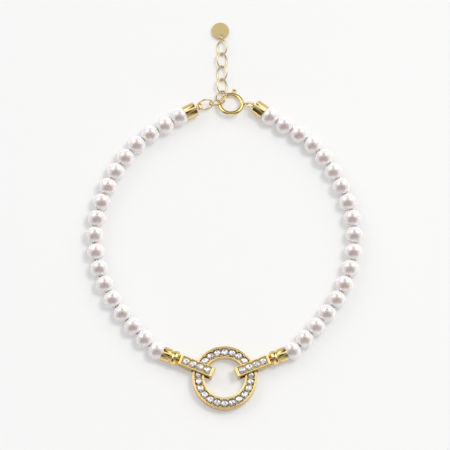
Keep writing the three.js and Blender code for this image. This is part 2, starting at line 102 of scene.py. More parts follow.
def facing(direction, place, side=UP):
    """The matrix that lays Z along a direction at a place, with X towards a side."""
    along = Vector(direction).normalized()
    across = along.cross(side).normalized()
    upward = across.cross(along).normalized()
    matrix = Matrix((upward, across, along)).transposed().to_4x4()
    matrix.translation = place
    return matrix


def turn_faces_outward(data):
    """Makes every face look away from the metal or pearl, so that bevels cut into it."""
    work = bmesh.new()
    work.from_mesh(data)
    bmesh.ops.recalc_face_normals(work, faces=work.faces)
    work.to_mesh(data)
    work.free()


def new_piece(name, mesh, material, body, smooth=True):
    """A piece of its own that moves with a body and takes the finish it is given."""
    vertices, faces = mesh
    data = bpy.data.meshes.new(name)
    data.from_pydata(vertices, [], faces)
    data.validate()
    turn_faces_outward(data)
    data.update()
    if smooth:
        data.shade_smooth()
    data.materials.append(material)
    piece = bpy.data.objects.new(name, data)
    bpy.context.scene.collection.objects.link(piece)
    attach(piece, body)
    return piece


def new_material(name):
    material = bpy.data.materials.new(name)
    material.use_nodes = True
    return material, material.node_tree.nodes, material.node_tree.links


def nacre_with_painted_reflection():
    """Pearly white with a soft cloudiness and a painted reflection: darker and rosier where it
    faces the eye.
    """
    material, nodes, links = new_material("nacre_with_painted_reflection")
    shader = nodes["Principled BSDF"]
    shader.inputs["Metallic"].default_value = 0.28
    shader.inputs["Specular IOR Level"].default_value = 0.35
    shader.inputs["Subsurface Weight"].default_value = 0.5
    shader.inputs["Subsurface Scale"].default_value = 0.001
    shader.inputs["Coat Weight"].default_value = 0.16
    shader.inputs["Coat Roughness"].default_value = 0.07
    # Painted reflection: the colour runs from a dark rosy middle, where the pearl faces the eye,
    # to a light edge.
    rim = nodes.new("ShaderNodeLayerWeight")
    rim.inputs["Blend"].default_value = 0.5
    tone = nodes.new("ShaderNodeValToRGB")
    ramp = tone.color_ramp
    ramp.elements[0].color = (0.53, 0.46, 0.44, 1)
    ramp.elements[1].color = (0.78, 0.72, 0.71, 1)
    painted_reflection_tones = (
        (0.08, (0.62, 0.55, 0.53, 1)),
        (0.22, (0.88, 0.84, 0.83, 1)),
        (0.55, (0.91, 0.87, 0.86, 1)),
        (0.82, (0.97, 0.95, 0.94, 1)),
    )
    for position, colour in painted_reflection_tones:
        ramp.elements.new(position).color = colour
    links.new(rim.outputs["Facing"], tone.inputs["Fac"])
    place = nodes.new("ShaderNodeTexCoord")
    cloud = nodes.new("ShaderNodeTexNoise")
    cloud.inputs["Scale"].default_value = 420.0
    cloud.inputs["Detail"].default_value = 1.0
    links.new(place.outputs["Object"], cloud.inputs["Vector"])
    vary = nodes.new("ShaderNodeHueSaturation")
    shade = nodes.new("ShaderNodeMapRange")
    shade.inputs["To Min"].default_value = 0.96
    shade.inputs["To Max"].default_value = 1.04
    links.new(cloud.outputs["Fac"], shade.inputs["Value"])
    links.new(shade.outputs["Result"], vary.inputs["Value"])
    links.new(tone.outputs["Color"], vary.inputs["Color"])
    links.new(vary.outputs["Color"], shader.inputs["Base Color"])
    gloss = nodes.new("ShaderNodeMapRange")
    gloss.inputs["To Min"].default_value = 0.16
    gloss.inputs["To Max"].default_value = 0.2
    links.new(cloud.outputs["Fac"], gloss.inputs["Value"])
    links.new(gloss.outputs["Result"], shader.inputs["Roughness"])
    return material


def pearl_profile():
    """The half circle of a pearl from one drill hole to the other."""
    start = math.asin(PEARL_HOLE_RADIUS / PEARL_RADIUS)
    points = []
    for i in range(PEARL_ARC_STEPS + 1):
        angle = start + (math.pi - 2 * start) * i / PEARL_ARC_STEPS
        points.append((PEARL_RADIUS * math.sin(angle), -PEARL_RADIUS * math.cos(angle)))
    return points


PEARL_SKIN = nacre_with_painted_reflection()
PEARL_MESH = turned_mesh(pearl_profile(), PEARL_ROUND_STEPS)


def ring_middle():
    return middle("pave_ring")


def string_stops(side):
    """The middles of one side's pearls, from the cap at the clasp to the ring at the front."""
    pearls = [middle(f"pearl_{side}_{i:02d}") for i in range(1, PEARLS_A_SIDE + 1)]
    front = ring_middle()
    front.z = pearls[-1].z
    return [middle(f"upper_cap_{side}"), *pearls, front]


def add_pearls(side):
    stops = string_stops(side)
    for i in range(1, PEARLS_A_SIDE + 1):
        before = (stops[i] - stops[i - 1]).normalized()
        after = (stops[i + 1] - stops[i]).normalized()
        place = facing(before + after, stops[i] + UP * PEARL_LIFT)
        node = f"pearl_{side}_{i:02d}"
        skin = moved(PEARL_MESH, place)
        pearl = new_piece(f"{node}_skin", skin, PEARL_SKIN, "bracelet")
        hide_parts(node)


add_pearls("left")
add_pearls("right")

# Thread: white twisted beading thread through the pearls, its knots hidden in the caps.
# The solid's shape is right, so only its finish is set here.

def thread_fibre():
    material, nodes, links = new_material("thread_fibre")
    shader = nodes["Principled BSDF"]
    shader.inputs["Roughness"].default_value = 0.85
    place = nodes.new("ShaderNodeTexCoord")
    twist = nodes.new("ShaderNodeTexWave")
    twist.inputs["Scale"].default_value = 1500.0
    twist.bands_direction = "DIAGONAL"
    links.new(place.outputs["Object"], twist.inputs["Vector"])
    tone = nodes.new("ShaderNodeValToRGB")
    tone.color_ramp.elements[0].color = (0.78, 0.77, 0.75, 1)
    tone.color_ramp.elements[1].color = (0.95, 0.94, 0.93, 1)
    links.new(twist.outputs["Fac"], tone.inputs["Fac"])
    links.new(tone.outputs["Color"], shader.inputs["Base Color"])
    return material


THREAD_FINISH = thread_fibre()
for thread_name in ("thread_left", "thread_right"):
    thread = frame["nodes"][thread_name]
    thread.data.materials.clear()
    thread.data.materials.append(THREAD_FINISH)

# Upper caps: polished gold cups pressed over the end pearls at the clasp, each with a short peg
# and a soldered wire eye. The left eye lies flat for the chain, the right one stands up.

CAP_MOUTH_RADIUS = 0.00141
CAP_WALL = 0.00024
CAP_FLOOR = 0.0005
CAP_EDGE = 0.00012
CAP_FLOOR_MIDDLE = 0.2
CAP_STEPS = 72
EDGE_STEPS = 4
EDGE_REACH = 0.45
SEAT_GAP = 0.00006
CAD_PEARL_RADIUS = 0.00192
UPPER_CAP_LENGTH = 0.0027
PEG_RADIUS = 0.0003
PEG_MIDDLE = 0.5
WIRE_STEPS = 16
EYE_STEPS = 40
HAZE_ROUGHENS = 1.5


def polished_gold(name, roughness, light, deep, edge):
    """Gold with a fine haze of tone and gloss, and painted shade: it deepens to the edge colour
    where it turns from the eye.
    """
    material, nodes, links = new_material(name)
    shader = nodes["Principled BSDF"]
    shader.inputs["Metallic"].default_value = 1.0
    place = nodes.new("ShaderNodeTexCoord")
    haze = nodes.new("ShaderNodeTexNoise")
    haze.inputs["Scale"].default_value = 700.0
    haze.inputs["Detail"].default_value = 4.0
    links.new(place.outputs["Object"], haze.inputs["Vector"])
    tone = nodes.new("ShaderNodeValToRGB")
    tone.color_ramp.elements[0].position = 0.3
    tone.color_ramp.elements[0].color = (*deep, 1)
    tone.color_ramp.elements[1].position = 0.7
    tone.color_ramp.elements[1].color = (*light, 1)
    links.new(haze.outputs["Fac"], tone.inputs["Fac"])
    # Painted shade: the base colour turns to the edge colour as the surface turns away from the
    # eye.
    rim = nodes.new("ShaderNodeLayerWeight")
    rim.inputs["Blend"].default_value = 0.5
    fade = nodes.new("ShaderNodeMapRange")
    fade.interpolation_type = "SMOOTHSTEP"
    fade.inputs["From Min"].default_value = 0.25
    fade.inputs["From Max"].default_value = 0.9
    links.new(rim.outputs["Facing"], fade.inputs["Value"])
    mix = nodes.new("ShaderNodeMix")
    mix.data_type = "RGBA"
    mix.inputs["B"].default_value = (*edge, 1)
    links.new(fade.outputs["Result"], mix.inputs["Factor"])
    links.new(tone.outputs["Color"], mix.inputs["A"])
    links.new(mix.outputs["Result"], shader.inputs["Base Color"])
    gloss = nodes.new("ShaderNodeMapRange")
    gloss.inputs["To Min"].default_value = roughness
    gloss.inputs["To Max"].default_value = roughness * HAZE_ROUGHENS
    links.new(haze.outputs["Fac"], gloss.inputs["Value"])
    links.new(gloss.outputs["Result"], shader.inputs["Roughness"])
    return material


GOLD = polished_gold(
    "polished_gold",
    roughness=0.05,
    light=(0.93, 0.74, 0.36),
    deep=(0.86, 0.66, 0.28),
    edge=(0.62, 0.40, 0.10),
)


def rounded(corner, before, after, size):
    """The points of a rounded corner of an outline."""
    corner = Vector(corner)
    start = corner + (Vector(before) - corner).normalized() * size
    end = corner + (Vector(after) - corner).normalized() * size
    points = []
    for i in range(EDGE_STEPS + 1):
        share = i / EDGE_STEPS
        point = start * (1 - share) ** 2 + corner * 2 * share * (1 - share) + end * share ** 2
        points.append((point.x, point.y))
    return points


def softened(outline, size, sharp=()):
    """An outline with its corners rounded, apart from those whose numbers are in sharp."""
    points = []
    for i, corner in enumerate(outline):
        before = outline[i - 1]
        after = outline[(i + 1) % len(outline)]
        reach = min((Vector(corner) - Vector(other)).length for other in (before, after))
        if i in sharp or reach < size / 2:
            points.append(corner)
        else:
            points.extend(rounded(corner, before, after, min(size, reach * EDGE_REACH)))
    return points


def capped_mesh(profile, steps):
    """A turned solid whose outline starts and ends on the axis, given without those two points."""
    vertices, faces = turned_mesh(profile, steps)
    last = (len(profile) - 1) * steps
    faces = faces[:last]
    faces.append(tuple(range(steps))[::-1])
    faces.append(tuple(last + i for i in range(steps)))
    return vertices, faces


def oval_wire(length, width, wire, steps=EYE_STEPS):
    """A closed oval of round wire in the XY plane, its long axis along X."""
    half_length = (length - wire) / 2
    half_width = (width - wire) / 2
    vertices = []
    faces = []
    for i in range(steps):
        angle = 2 * math.pi * i / steps
        cos, sin = math.cos(angle), math.sin(angle)
        centre = Vector((half_length * cos, half_width * sin, 0))
        outward = Vector((half_width * cos, half_length * sin, 0)).normalized()
        for j in range(WIRE_STEPS):
            turn = 2 * math.pi * j / WIRE_STEPS
            off_centre = (outward * math.cos(turn) + UP * math.sin(turn)) * wire / 2
            vertices.append(tuple(centre + off_centre))
    for i in range(steps):
        for j in range(WIRE_STEPS):
            a = i * WIRE_STEPS + j
            b = i * WIRE_STEPS + (j + 1) % WIRE_STEPS
            c = (i + 1) % steps * WIRE_STEPS + (j + 1) % WIRE_STEPS
            d = (i + 1) % steps * WIRE_STEPS + j
            faces.append((a, d, c, b))
    return vertices, faces


def upper_cap_mesh(eye_diameter, eye_wire, eye_reach, eye_lies_flat):
    """Made along +Z from its mouth, with the eye above the closed end."""
    outer = CAP_MOUTH_RADIUS + CAP_WALL
    peg_end = UPPER_CAP_LENGTH + eye_reach - (eye_diameter - eye_wire) / 2
    outline = [
        (CAP_MOUTH_RADIUS * CAP_FLOOR_MIDDLE, UPPER_CAP_LENGTH - CAP_FLOOR),
        (CAP_MOUTH_RADIUS, UPPER_CAP_LENGTH - CAP_FLOOR),
        (CAP_MOUTH_RADIUS, 0),
        (outer, 0),
        (outer, UPPER_CAP_LENGTH),
        (PEG_RADIUS, UPPER_CAP_LENGTH),
        (PEG_RADIUS, peg_end),
        (PEG_RADIUS * PEG_MIDDLE, peg_end),
    ]
    cup = capped_mesh(softened(outline, CAP_EDGE, sharp=(0, 7)), CAP_STEPS)
    upright = Matrix.Rotation(math.pi / 2, 4, "Y")
    turn = Matrix.Identity(4) if eye_lies_flat else Matrix.Rotation(math.pi / 2, 4, "Z")
    place = Matrix.Translation((0, 0, UPPER_CAP_LENGTH + eye_reach)) @ turn @ upright
    eye = moved(oval_wire(eye_diameter, eye_diameter, eye_wire), place)
    return merged([cup, eye])


def seat_distance():
    """How far the mouth of a cap stands off the middle of the pearl that sits in it."""
    seat = CAD_PEARL_RADIUS + SEAT_GAP
    return math.sqrt(seat ** 2 - CAP_MOUTH_RADIUS ** 2)


def add_upper_cap(side, mesh):
    stops = string_stops(side)
    along = (stops[0] - stops[1]).normalized()
    along.z = 0
    place = facing(along, stops[1] + along.normalized() * seat_distance())
    node = f"upper_cap_{side}"
    cap = new_piece(f"{node}_gold", moved(mesh, place), GOLD, "bracelet")
    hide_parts(node)


CHAIN_EYE_DIAMETER = 0.00158
CHAIN_EYE_WIRE = 0.00038
CHAIN_EYE_REACH = 0.00102
SMALL_EYE_DIAMETER = 0.00122
SMALL_EYE_WIRE = 0.00032
SMALL_EYE_REACH = 0.0005
chain_cap = upper_cap_mesh(CHAIN_EYE_DIAMETER, CHAIN_EYE_WIRE, CHAIN_EYE_REACH, True)
clasp_cap = upper_cap_mesh(SMALL_EYE_DIAMETER, SMALL_EYE_WIRE, SMALL_EYE_REACH, False)
add_upper_cap("left", chain_cap)
add_upper_cap("right", clasp_cap)

# Front ring: a cast gold band with raised polished rims and a sunk channel. The stones sit in
# the channel, held by small round grains that are raised from the metal at both rims.

RING_OUTER_RADIUS = 0.00725
RING_INNER_RADIUS = 0.00455
RING_THICKNESS = 0.0016
RING_RIM = 0.0005
RIM_LINE_PLACE = 0.0002
RIM_LINE_WIDTH = 0.00007
RIM_LINE_DEPTH = 0.00009
RING_EDGE = 0.00015
CHANNEL_DEPTH = 0.0003
RING_STEPS = 176
STONE_COUNT = 22
GRAIN_RADIUS = 0.00019
GRAIN_RISE = 0.00036
GRAIN_INSET = 0.00008
GRAIN_STEPS = 12
GRAIN_ARC_STEPS = 5
GRAIN_ARC_SHARE = 0.96
GRAIN_SPREAD = 0.0003
LEVEL_TOLERANCE = 0.00001
# Painted shade: the channel floors take a darker gold, standing in for the shade between the
# stones; their greater roughness is real.
SHADED_CHANNEL_GOLD = polished_gold(
    "channel_gold_painted_shade",
    roughness=0.3,
    light=(0.76, 0.54, 0.20),
    deep=(0.60, 0.40, 0.12),
    edge=(0.42, 0.26, 0.07),
)
SET_GOLD = polished_gold(
    "set_gold",
    roughness=0.12,
    light=(0.97, 0.77, 0.38),
    deep=(0.84, 0.62, 0.25),
    edge=(0.60, 0.38, 0.11),
)


def ring_band_mesh(bottom):
    """The band with its channel on top and one fine line cut round near its outer edge."""
    top = bottom + RING_THICKNESS
    floor = top - CHANNEL_DEPTH
    line = RING_OUTER_RADIUS - RIM_LINE_PLACE
    outline = [
        (RING_INNER_RADIUS, bottom),
        (RING_OUTER_RADIUS, bottom),
        (RING_OUTER_RADIUS, top),
        (line, top),
        (line, top - RIM_LINE_DEPTH),
        (line - RIM_LINE_WIDTH, top - RIM_LINE_DEPTH),
        (line - RIM_LINE_WIDTH, top),
        (RING_OUTER_RADIUS - RING_RIM, top),
        (RING_OUTER_RADIUS - RING_RIM, floor),
        (RING_INNER_RADIUS + RING_RIM, floor),
        (RING_INNER_RADIUS + RING_RIM, top),
        (RING_INNER_RADIUS, top),
    ]
    return turned_mesh(softened(outline, RING_EDGE, sharp=(4, 5, 8, 9)), RING_STEPS)


def grain_mesh(x, y, floor):
    """A bead of gold with a round head that stands in the channel."""
    centre = floor + GRAIN_RISE - GRAIN_RADIUS
    points = [(GRAIN_RADIUS, floor - GRAIN_RADIUS)]
    for i in range(GRAIN_ARC_STEPS + 1):
        angle = math.pi / 2 * i / GRAIN_ARC_STEPS * GRAIN_ARC_SHARE
        points.append((GRAIN_RADIUS * math.cos(angle), centre + GRAIN_RADIUS * math.sin(angle)))
    return moved(capped_mesh(points, GRAIN_STEPS), Matrix.Translation((x, y, 0)))


def paint_channel_shade(piece, floor):
    """Gives the channel floor between the stones a rougher gold, with painted shade darkening its
    colour.
    """
    piece.data.materials.append(SHADED_CHANNEL_GOLD)
    for polygon in piece.data.polygons:
        if abs(polygon.center.z - floor) < LEVEL_TOLERANCE:
            polygon.material_index = 1


ring_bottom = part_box("pave_ring")[0][2]
ring_floor = ring_bottom + RING_THICKNESS - CHANNEL_DEPTH
ring_place = Matrix.Translation((ring_middle().x, ring_middle().y, 0))
ring_parts = [ring_band_mesh(ring_bottom)]
outer_grains = RING_OUTER_RADIUS - RING_RIM - GRAIN_INSET
inner_grains = RING_INNER_RADIUS + RING_RIM + GRAIN_INSET
for stone in range(STONE_COUNT):
    gap_angle = math.pi / 2 + 2 * math.pi * (stone + 0.5) / STONE_COUNT
    for circle in (outer_grains, inner_grains):
        for sideways in (-GRAIN_SPREAD / 2, GRAIN_SPREAD / 2):
            angle = gap_angle + sideways / circle
            grain = grain_mesh(circle * math.cos(angle), circle * math.sin(angle), ring_floor)
            ring_parts.append(grain)
band_mesh = moved(merged(ring_parts), ring_place)
ring_band = new_piece("pave_ring_band", band_mesh, SET_GOLD, "front_ring")
paint_channel_shade(ring_band, ring_floor)
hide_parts("pave_ring")

# Stones: small round brilliant-cut clear stones, each with a flat table, star, kite and girdle
# facets, and a pointed back that sits in its seat. They are bright and colourless.

STONE_RADIUS = 0.00077
STONE_TABLE_SHARE = 0.56
STONE_STAR_SHARE = 0.8
STONE_CROWN = 0.0002
STONE_STAR_DROP = 0.42
STONE_GIRDLE = 0.00005
STONE_GIRDLE_RISE = 0.0001
STONE_BACK = 0.0003
STONE_SIDES = 8


def clear_stone_painted_glints():
    """A bright mirror with painted reflections: small light and dark patches in its colour,
    standing in for those that cut facets show.
    """
    material, nodes, links = new_material("clear_stone_painted_glints")
    shader = nodes["Principled BSDF"]
    shader.inputs["Metallic"].default_value = 0.6
    shader.inputs["Roughness"].default_value = 0.05
    shader.inputs["Specular IOR Level"].default_value = 1.0
    place = nodes.new("ShaderNodeTexCoord")
    painted_facet_glints = nodes.new("ShaderNodeTexVoronoi")
    painted_facet_glints.inputs["Scale"].default_value = 4200.0
    links.new(place.outputs["Object"], painted_facet_glints.inputs["Vector"])
    tone = nodes.new("ShaderNodeValToRGB")
    tone.color_ramp.elements[0].position = 0.25
    tone.color_ramp.elements[0].color = (0.25, 0.25, 0.27, 1)
    tone.color_ramp.elements[1].position = 0.6
    tone.color_ramp.elements[1].color = (0.86, 0.86, 0.88, 1)
    links.new(painted_facet_glints.outputs["Color"], tone.inputs["Fac"])
    links.new(tone.outputs["Color"], shader.inputs["Base Color"])
    return material


def stone_mesh(x, y, floor, turn):
    """A brilliant-cut stone whose girdle lies a little above the floor of its channel."""
    girdle = floor + STONE_GIRDLE_RISE
    table = girdle + STONE_GIRDLE + STONE_CROWN
    star = table - STONE_CROWN * STONE_STAR_DROP
    half = math.pi / STONE_SIDES
    rings = [
        (STONE_TABLE_SHARE, table, 0.0, STONE_SIDES),
        (STONE_STAR_SHARE, star, half, STONE_SIDES),
        (1.0, girdle + STONE_GIRDLE, 0.0, 2 * STONE_SIDES),
        (1.0, girdle, 0.0, 2 * STONE_SIDES),
    ]
    vertices = []
    starts = []
    for share, height, shift, count in rings:
        starts.append(len(vertices))
        for i in range(count):
            angle = turn + shift + 2 * math.pi * i / count
            reach = STONE_RADIUS * share
            point = (x + reach * math.cos(angle), y + reach * math.sin(angle), height)
            vertices.append(point)
    tip = len(vertices)
    vertices.append((x, y, girdle - STONE_BACK))
    table_start, star_start, upper_start, lower_start = starts
    faces = [tuple(table_start + i for i in range(STONE_SIDES))]
    around = 2 * STONE_SIDES
    for i in range(STONE_SIDES):
        j = (i + 1) % STONE_SIDES
        star_point = star_start + i
        last_star = star_start + (i - 1) % STONE_SIDES
        first_upper = upper_start + 2 * i
        middle_upper = first_upper + 1
        next_upper = upper_start + (2 * i + 2) % around
        faces.append((table_start + j, table_start + i, star_point))
        faces.append((table_start + i, last_star, first_upper, star_point))
        faces.append((star_point, first_upper, middle_upper))
        faces.append((star_point, middle_upper, next_upper))
    for i in range(around):
        j = (i + 1) % around
        faces.append((upper_start + i, lower_start + i, lower_start + j, upper_start + j))
        faces.append((lower_start + i, tip, lower_start + j))
    return vertices, faces


CLEAR_STONE_PAINTED_GLINTS = clear_stone_painted_glints()
stone_circle = (RING_OUTER_RADIUS + RING_INNER_RADIUS) / 2
ring_stones = []
for stone in range(STONE_COUNT):
    angle = math.pi / 2 + 2 * math.pi * stone / STONE_COUNT
    x, y = stone_circle * math.cos(angle), stone_circle * math.sin(angle)
    ring_stones.append(stone_mesh(x, y, ring_floor, angle + stone))
stones_mesh = moved(merged(ring_stones), ring_place)
new_piece("pave_ring_stones", stones_mesh, CLEAR_STONE_PAINTED_GLINTS, "front_ring", smooth=False)

# Bars: each is a cast gold loop round the front ring with four stones in a sunk channel on top,
# soldered to a neck, a polished bead, a groove and the cup over the last pearl.

BAR_TIP = 0.00267
BAR_TIP_WALL = 0.00063
BAR_LENGTH = 0.00815
BAR_WIDTH = 0.00245
BAR_BOTTOM_PLATE = 0.00045
BAR_TOP_PLATE = 0.0007
RING_CLEARANCE = 0.0003
BAR_HEEL_RISE = 0.0012
BAR_HEEL_RUN = 0.0022
BAR_EDGE = 0.0003
BAR_STONES = 4
BAR_STONE_PITCH = 0.00172
BAR_FIRST_STONE = 0.00155
BAR_RIM = 0.0003
BAR_LEDGE = 0.00009
NECK_LENGTH = 0.0005
NECK_RADIUS = 0.0012
NECK_MIDDLE = 0.3
BEAD_WIDTH = 0.0015
BEAD_RADIUS = 0.00175
BEAD_STEPS = 12
GROOVE_WIDTH = 0.0003
GROOVE_RADIUS = 0.00135
LOWER_CAP_LENGTH = 0.0019
BEVEL_WIDTH = 0.00009
BEVEL_STEPS = 3
bar_end = BAR_TIP + BAR_LENGTH
bar_window_top = BAR_BOTTOM_PLATE + 2 * RING_CLEARANCE + RING_THICKNESS
bar_top = bar_window_top + BAR_TOP_PLATE
bar_floor = bar_top - CHANNEL_DEPTH
string_height = CAD_PEARL_RADIUS
BAR_STONE_PLACES = [BAR_TIP + BAR_FIRST_STONE + i * BAR_STONE_PITCH for i in range(BAR_STONES)]


def plate_mesh(outline, window, width):
    """The edges of a plate in the XZ plane with one window, as thick as width along Y."""
    vertices = []
    for y in (-width / 2, width / 2):
        vertices.extend((x, y, z) for x, z in outline)
        vertices.extend((x, y, z) for x, z in window)
    count = len(outline)
    layer = count + len(window)
    faces = []
    for start, size in ((0, count), (count, len(window))):
        for i in range(size):
            a = start + i
            b = start + (i + 1) % size
            faces.append((a, b, layer + b, layer + a))
    return vertices, faces, count, layer


def bar_loop_mesh():
    """The loop, cut into straight boxes round its window so that every face is flat."""
    tip, heel = BAR_TIP, bar_end
    window_start = tip + BAR_TIP_WALL
    window_end = RING_OUTER_RADIUS + RING_CLEARANCE
    outline = [
        (tip, BAR_EDGE),
        (tip + BAR_EDGE, 0),
        (window_start, 0),
        (window_end, 0),
        (heel - BAR_HEEL_RUN, 0),
        (heel, BAR_HEEL_RISE),
        (heel, bar_floor),
        (window_end, bar_floor),
        (window_start, bar_floor),
        (tip, bar_floor),
    ]
    window = [
        (window_start, BAR_BOTTOM_PLATE),
        (window_end, BAR_BOTTOM_PLATE),
        (window_end, bar_window_top),
        (window_start, bar_window_top),
    ]
    vertices, faces, count, layer = plate_mesh(outline, window, BAR_WIDTH)
    side = [
        (0, 1, 2, count, count + 3, 8, 9),
        (2, 3, count + 1, count),
        (3, 4, 5, 6, 7, count + 2, count + 1),
        (7, 8, count + 3, count + 2),
    ]
    for face in side:
        faces.append(face)
        faces.append(tuple(layer + i for i in reversed(face)))
    return vertices, faces


def bar_rim_mesh():
    """The raised frame round the stones, set in from the loop's sides by a fine ledge."""
    channel_start = BAR_TIP + BAR_FIRST_STONE - BAR_STONE_PITCH / 2
    channel_end = channel_start + BAR_STONES * BAR_STONE_PITCH
    side = BAR_WIDTH / 2 - BAR_LEDGE
    inner = BAR_WIDTH / 2 - BAR_RIM
    outer_corners = [(BAR_TIP, -side), (bar_end, -side), (bar_end, side), (BAR_TIP, side)]
    inner_corners = [
        (channel_start, -inner),
        (channel_end, -inner),
        (channel_end, inner),
        (channel_start, inner),
    ]
    vertices = []
    for height in (bar_floor, bar_top):
        vertices.extend((x, y, height) for x, y in outer_corners)
        vertices.extend((x, y, height) for x, y in inner_corners)
    faces = []
    for i in range(4):
        j = (i + 1) % 4
        faces.append((i, j, 8 + j, 8 + i))
        faces.append((4 + j, 4 + i, 12 + i, 12 + j))
        faces.append((8 + i, 8 + j, 12 + j, 12 + i))
        faces.append((j, i, 4 + i, 4 + j))
    return vertices, faces


def lower_cap_mesh():
    """Neck, bead, groove and cup in one turned shape along +Z from the ring's centre."""
    bead_start = bar_end + NECK_LENGTH
    groove_start = bead_start + BEAD_WIDTH
    cap_start = groove_start + GROOVE_WIDTH
    cap_mouth = cap_start + LOWER_CAP_LENGTH
    outer = CAP_MOUTH_RADIUS + CAP_WALL
    points = [
        (NECK_RADIUS * NECK_MIDDLE, bar_end - BAR_EDGE),
        (NECK_RADIUS, bar_end - BAR_EDGE),
        (NECK_RADIUS, bead_start),
    ]
    for i in range(BEAD_STEPS + 1):
        angle = math.pi * i / BEAD_STEPS
        rise = (BEAD_RADIUS - GROOVE_RADIUS) * math.sin(angle)
        points.append((GROOVE_RADIUS + rise, bead_start + BEAD_WIDTH * (1 - math.cos(angle)) / 2))
    cup = [
        (GROOVE_RADIUS, cap_start),
        (outer, cap_start),
        (outer, cap_mouth),
        (CAP_MOUTH_RADIUS, cap_mouth),
        (CAP_MOUTH_RADIUS, cap_start + CAP_FLOOR),
        (CAP_MOUTH_RADIUS * CAP_FLOOR_MIDDLE, cap_start + CAP_FLOOR),
    ]
    points.extend(softened(cup, CAP_EDGE, sharp=(0, 5)))
    return capped_mesh(points, CAP_STEPS)


def bar_grain_meshes():
    """Two pairs of grains in each gap between the stones, beside the frame."""
    grain_side = BAR_WIDTH / 2 - BAR_RIM - GRAIN_INSET
    grains = []
    for x in BAR_STONE_PLACES[:-1]:
        gap = x + BAR_STONE_PITCH / 2
        for y in (-grain_side, grain_side):
            for sideways in (-GRAIN_SPREAD / 2, GRAIN_SPREAD / 2):
                grains.append(grain_mesh(gap + sideways, y, bar_floor))
    return grains


def add_bar(side, first_turn):
    along = middle(f"pearl_{side}_{PEARLS_A_SIDE:02d}") - ring_middle()
    turn = Matrix.Rotation(math.atan2(along.y, along.x), 4, "Z")
    place = ring_place @ turn
    level = facing(Vector((1, 0, 0)), Vector((0, 0, string_height)))
    loop_mesh = moved(merged([bar_loop_mesh(), bar_rim_mesh()]), place)
    loop = new_piece(
        f"bar_{side}_loop", loop_mesh, GOLD, "bracelet", smooth=False
    )
    paint_channel_shade(loop, bar_floor)
    bevel = loop.modifiers.new("worn_edges", "BEVEL")
    bevel.width = BEVEL_WIDTH
    bevel.segments = BEVEL_STEPS
    bevel.limit_method = "ANGLE"
    cap_mesh = moved(merged([moved(lower_cap_mesh(), level), *bar_grain_meshes()]), place)
    cap = new_piece(f"bar_{side}_cap", cap_mesh, GOLD, "bracelet")
    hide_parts(f"bar_{side}")
    stones = [stone_mesh(x, 0, bar_floor, first_turn + i) for i, x in enumerate(BAR_STONE_PLACES)]
    stones_mesh = moved(merged(stones), place)
    new_piece(
        f"bar_{side}_stones", stones_mesh, CLEAR_STONE_PAINTED_GLINTS, "bracelet", smooth=False
    )


add_bar("left", -1)
add_bar("right", 1)

# Clasp: a spring ring of round gold tube, open between its two ends, with a soldered eye. The
# bolt inside it closes the gap and is drawn back by a thumb knob, whose stem runs in a slot in
# the outer side of the tube.

CLASP_RADIUS = 0.0025
CLASP_TUBE_RADIUS = 0.0005
CLASP_BORE_RADIUS = 0.00038
TUBE_START = 186
TUBE_END = 472
TUBE_EDGE = 1.2
TUBE_MOUTH_SHARE = 0.92
BORE_DEPTH = 14
BOLT_RADIUS = 0.00024
BOLT_TAIL = 64
BOLT_TAIL_EDGE = 1
BOLT_TAIL_SHARE = 0.7
BOLT_NOSE = 191
BOLT_NOSE_TAPER = 3
BOLT_NOSE_EDGE = 1
BOLT_TAPER_SHARE = 0.8
BOLT_NOSE_SHARE = 0.4
KNOB_ANGLE = 78
KNOB_REACH = 0.00365
KNOB_LENGTH = 0.0009
KNOB_RADIUS = 0.00037
KNOB_MIDDLE = 0.3
KNOB_END_SHARE = 0.8
KNOB_STRAIGHT_SHARE = 0.6
KNOB_EDGE = 0.0001
KNOB_FLATNESS = 0.34
STEM_RADIUS = 0.00022
SLOT_START = 397
SLOT_END = 444
SLOT_FLOOR = 0.00027
SLOT_WIDTH = 0.0005
SLOT_SIDES = (-2, -1, 0, 1, 2)
ARC_STEP = 2.0
TUBE_SIDES = 32
BOLT_SIDES = 24
KNOB_SIDES = 24
STEM_SIDES = 16


def clasp_outward(degrees):
    angle = math.radians(degrees)
    return Vector((math.cos(angle), math.sin(angle), 0))


def arc_sweep(stations, sides):
    """A round body about an arc, from (angle in degrees, radius) stations, closed at its ends."""
    vertices = []
    for degrees, radius in stations:
        outward = clasp_outward(degrees)
        for j in range(sides):
            turn = 2 * math.pi * j / sides
            reach = CLASP_RADIUS + radius * math.cos(turn)
            vertices.append(tuple(outward * reach + UP * radius * math.sin(turn)))
    faces = []
    for i in range(len(stations) - 1):
        for j in range(sides):
            a = i * sides + j
            b = i * sides + (j + 1) % sides
            faces.append((a, a + sides, b + sides, b))
    last = (len(stations) - 1) * sides
    faces.append(tuple(range(sides)))
    faces.append(tuple(last + j for j in reversed(range(sides))))
    return vertices, faces


def straight_stations(start, end, radius):
    """Stations of one radius, a step apart, from start to short of end."""
    count = math.ceil((end - start) / ARC_STEP)
    return [(start + i * ARC_STEP, radius) for i in range(count)]


def tube_stations():
    """The tube's outside, with the mouths of the bore at both ends."""
    mouth = CLASP_TUBE_RADIUS * TUBE_MOUTH_SHARE
    return [
        (TUBE_START + BORE_DEPTH, CLASP_BORE_RADIUS),
        (TUBE_START, CLASP_BORE_RADIUS),
        (TUBE_START, mouth),
        *straight_stations(TUBE_START + TUBE_EDGE, TUBE_END - TUBE_EDGE, CLASP_TUBE_RADIUS),
        (TUBE_END - TUBE_EDGE, CLASP_TUBE_RADIUS),
        (TUBE_END, mouth),
        (TUBE_END, CLASP_BORE_RADIUS),
        (TUBE_END - BORE_DEPTH, CLASP_BORE_RADIUS),
    ]


